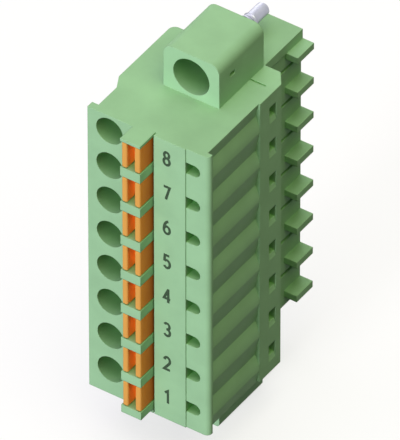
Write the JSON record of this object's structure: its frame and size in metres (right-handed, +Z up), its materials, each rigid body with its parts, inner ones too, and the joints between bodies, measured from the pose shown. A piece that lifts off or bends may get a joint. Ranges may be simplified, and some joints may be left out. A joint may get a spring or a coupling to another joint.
{
  "type": "terminal block",
  "caption": "Pluggable push-in terminal block: a row of round wire entries with release buttons, a ribbed grip side, captive flange screws and a coded mating part.",
  "frame": {"origin": "centre of the bounding box's underside, at the lower flange's end face", "axes": "+Z up along the row of poles, +Y from the wire side to the mating end, +X towards the ribbed side"},
  "size_m": [0.0112, 0.0186, 0.037],
  "materials": {
    "housing_plastic": "fine moulded texture",
    "carrier_plastic": "fine moulded texture",
    "button_plastic": "smooth moulded",
    "spring_steel": "rolled strip",
    "tinned_metal": "tin plated",
    "screw_steel": "zinc plated"
  },
  "bodies": {
    "housing": {"wire_housing": "housing_plastic", "contact_carrier": "carrier_plastic", "clamp_spring_1": "spring_steel", "clamp_spring_2": "spring_steel", "clamp_spring_3": "spring_steel", "clamp_spring_4": "spring_steel", "clamp_spring_5": "spring_steel", "clamp_spring_6": "spring_steel", "clamp_spring_7": "spring_steel", "clamp_spring_8": "spring_steel", "contact_1": "tinned_metal", "contact_2": "tinned_metal", "contact_3": "tinned_metal", "contact_4": "tinned_metal", "contact_5": "tinned_metal", "contact_6": "tinned_metal", "contact_7": "tinned_metal", "contact_8": "tinned_metal"},
    "button_1": {"push_button_1": "button_plastic"},
    "button_2": {"push_button_2": "button_plastic"},
    "button_3": {"push_button_3": "button_plastic"},
    "button_4": {"push_button_4": "button_plastic"},
    "button_5": {"push_button_5": "button_plastic"},
    "button_6": {"push_button_6": "button_plastic"},
    "button_7": {"push_button_7": "button_plastic"},
    "button_8": {"push_button_8": "button_plastic"},
    "screw_upper": {"flange_screw_upper": "screw_steel"},
    "screw_lower": {"flange_screw_lower": "screw_steel"}
  },
  "joints": [
    {"name": "button_1_press", "type": "slide", "parent": "housing", "child": "button_1", "axis": [0, 1, 0], "range_m": [0, 0.0011], "stiffness_N_per_m": 3000, "springref_m": -0.0004, "deforming": ["clamp_spring_1"]},
    {"name": "button_2_press", "type": "slide", "parent": "housing", "child": "button_2", "axis": [0, 1, 0], "range_m": [0, 0.0011], "stiffness_N_per_m": 3000, "springref_m": -0.0004, "deforming": ["clamp_spring_2"]},
    {"name": "button_3_press", "type": "slide", "parent": "housing", "child": "button_3", "axis": [0, 1, 0], "range_m": [0, 0.0011], "stiffness_N_per_m": 3000, "springref_m": -0.0004, "deforming": ["clamp_spring_3"]},
    {"name": "button_4_press", "type": "slide", "parent": "housing", "child": "button_4", "axis": [0, 1, 0], "range_m": [0, 0.0011], "stiffness_N_per_m": 3000, "springref_m": -0.0004, "deforming": ["clamp_spring_4"]},
    {"name": "button_5_press", "type": "slide", "parent": "housing", "child": "button_5", "axis": [0, 1, 0], "range_m": [0, 0.0011], "stiffness_N_per_m": 3000, "springref_m": -0.0004, "deforming": ["clamp_spring_5"]},
    {"name": "button_6_press", "type": "slide", "parent": "housing", "child": "button_6", "axis": [0, 1, 0], "range_m": [0, 0.0011], "stiffness_N_per_m": 3000, "springref_m": -0.0004, "deforming": ["clamp_spring_6"]},
    {"name": "button_7_press", "type": "slide", "parent": "housing", "child": "button_7", "axis": [0, 1, 0], "range_m": [0, 0.0011], "stiffness_N_per_m": 3000, "springref_m": -0.0004, "deforming": ["clamp_spring_7"]},
    {"name": "button_8_press", "type": "slide", "parent": "housing", "child": "button_8", "axis": [0, 1, 0], "range_m": [0, 0.0011], "stiffness_N_per_m": 3000, "springref_m": -0.0004, "deforming": ["clamp_spring_8"]},
    {"name": "screw_upper_turn", "type": "hinge", "parent": "housing", "child": "screw_upper", "pos_m": [0.0004, 0.00517, 0.0348], "axis": [0, 1, 0], "continuous": true},
    {"name": "screw_lower_turn", "type": "hinge", "parent": "housing", "child": "screw_lower", "pos_m": [0.0004, 0.00517, 0.0022], "axis": [0, 1, 0], "continuous": true}
  ]
}
